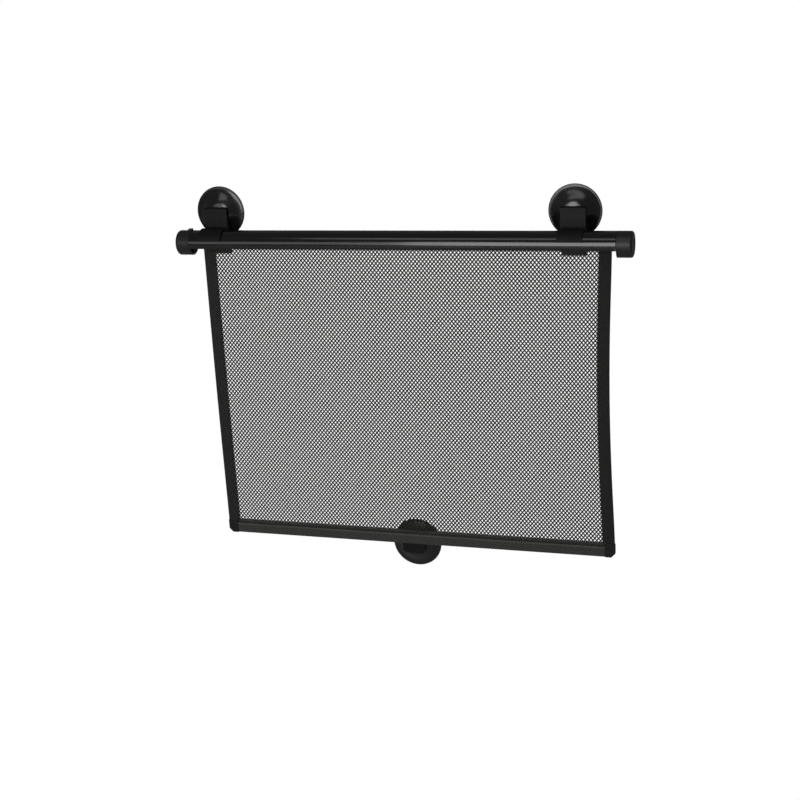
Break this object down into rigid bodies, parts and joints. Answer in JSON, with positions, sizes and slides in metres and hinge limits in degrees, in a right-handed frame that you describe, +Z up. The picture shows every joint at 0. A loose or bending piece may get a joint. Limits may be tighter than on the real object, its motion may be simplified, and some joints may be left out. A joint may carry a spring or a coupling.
{
  "type": "car side window sunshade",
  "caption": "Retractable roller sunshade for a car side window: black cassette with end caps, see-through mesh drawn down to a hem bar, held to the glass by suction cups",
  "frame": {"origin": "on the glass, at the middle of the cloth's width, level with the upper cups", "axes": "+X along the cassette to its right end, +Y towards the glass, +Z up the window"},
  "size_m": [0.4421, 0.0362, 0.3855],
  "materials": {
    "gloss_black_shell": "glossy extruded black plastic, one sharp highlight along its length",
    "satin_black_moulding": "satin black moulding with a fine spark texture",
    "cup_rubber": "soft black cup material with a smooth semi-gloss skin",
    "mesh_cloth": "coated black mesh with staggered holes",
    "tape_cloth": "black woven binding tape with a stitched line",
    "roller_aluminium": "drawn tube",
    "plain_steel": "plain zinc-coated steel",
    "bush_plastic": "natural acetal"
  },
  "bodies": {
    "cassette": {"housing_shell": "gloss_black_shell", "end_cap_left": "satin_black_moulding", "end_cap_right": "satin_black_moulding", "arbor_rod": "plain_steel", "arbor_collar": "plain_steel", "torsion_spring": "plain_steel"},
    "roller": {"roller_tube": "roller_aluminium", "roller_plug_left": "bush_plastic", "roller_plug_right": "bush_plastic", "idle_pin": "plain_steel", "arbor_bush": "bush_plastic", "cloth_roll": "mesh_cloth"},
    "hem": {"mesh_panel": "mesh_cloth", "side_tape_left": "tape_cloth", "side_tape_right": "tape_cloth", "hem_pocket": "mesh_cloth", "bottom_bar": "plain_steel", "bar_end_left": "satin_black_moulding", "bar_end_right": "satin_black_moulding", "lower_cup_socket": "satin_black_moulding", "socket_rivet_left": "plain_steel", "socket_rivet_right": "plain_steel"},
    "clip_left": {"cup_clip_left": "satin_black_moulding"},
    "clip_right": {"cup_clip_right": "satin_black_moulding"},
    "cup_left": {"suction_cup_left": "cup_rubber"},
    "cup_right": {"suction_cup_right": "cup_rubber"},
    "cup_lower": {"suction_cup_lower": "cup_rubber"}
  },
  "joints": [
    {"name": "shade_drop", "type": "slide", "parent": "cassette", "child": "hem", "axis": [0, 0, 1], "range_m": [0, 0.275], "deforming": ["mesh_panel", "side_tape_left", "side_tape_right"]},
    {"name": "roller_spin", "type": "hinge", "parent": "cassette", "child": "roller", "pos_m": [0, -0.02245, -0.0264], "axis": [1, 0, 0], "range_deg": [0, 2130]},
    {"name": "clip_left_slide", "type": "slide", "parent": "cassette", "child": "clip_left", "axis": [1, 0, 0], "range_m": [-0.01, 0.15]},
    {"name": "clip_right_slide", "type": "slide", "parent": "cassette", "child": "clip_right", "axis": [1, 0, 0], "range_m": [-0.13, 0.029]},
    {"name": "cup_left_swivel", "type": "hinge", "parent": "clip_left", "child": "cup_left", "pos_m": [-0.1856, 0, 0], "axis": [0, 1, 0], "continuous": true},
    {"name": "cup_right_swivel", "type": "hinge", "parent": "clip_right", "child": "cup_right", "pos_m": [0.1641, 0, 0], "axis": [0, 1, 0], "continuous": true},
    {"name": "cup_lower_swivel", "type": "hinge", "parent": "hem", "child": "cup_lower", "pos_m": [-0.0021, 0, -0.3355], "axis": [0, 1, 0], "continuous": true}
  ],
  "couplings": [
    {"joint": "roller_spin", "follows": "shade_drop", "rad_per_m": 135}
  ]
}
